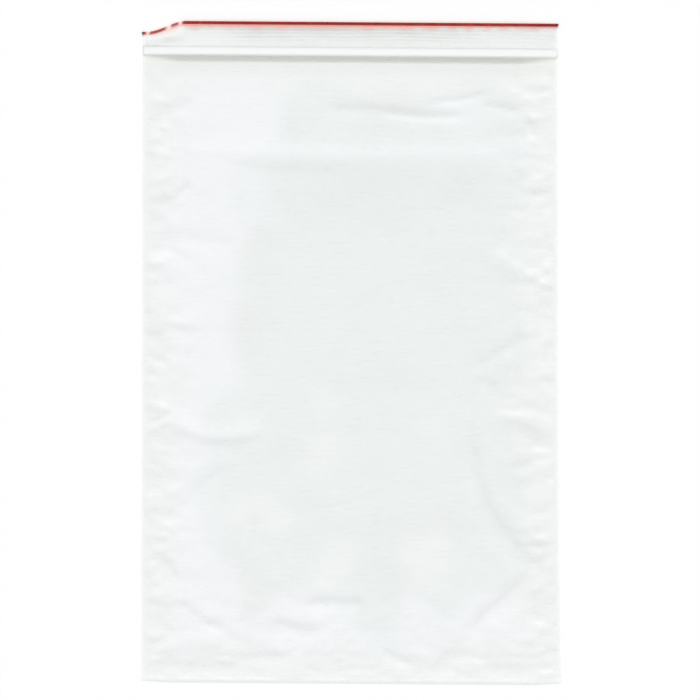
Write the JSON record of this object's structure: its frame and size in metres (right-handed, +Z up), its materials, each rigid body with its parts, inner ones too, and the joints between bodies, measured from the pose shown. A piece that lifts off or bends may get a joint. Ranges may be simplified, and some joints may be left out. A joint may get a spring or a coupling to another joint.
{
  "type": "zipper bag",
  "caption": "Flat, empty press-to-close bag of clear polyethylene film, with welded sides, a folded bottom, a shut zip and a thin red line along its lips.",
  "frame": {"origin": "centre of the bag's outline, on the surface that it lies on", "axes": "+Y runs from the folded bottom to the zip and the lips, +X runs across the bag to the right, +Z is up out of the front wall"},
  "size_m": [0.1, 0.159, 0.0041],
  "materials": {
    "clear_film": "clear, slightly milky blown polyethylene film with fine die lines",
    "red_film": "the same film pigmented red"
  },
  "bodies": {
    "root": {"film_bag": "clear_film", "mouth_stripe": "red_film"}
  },
  "joints": []
}
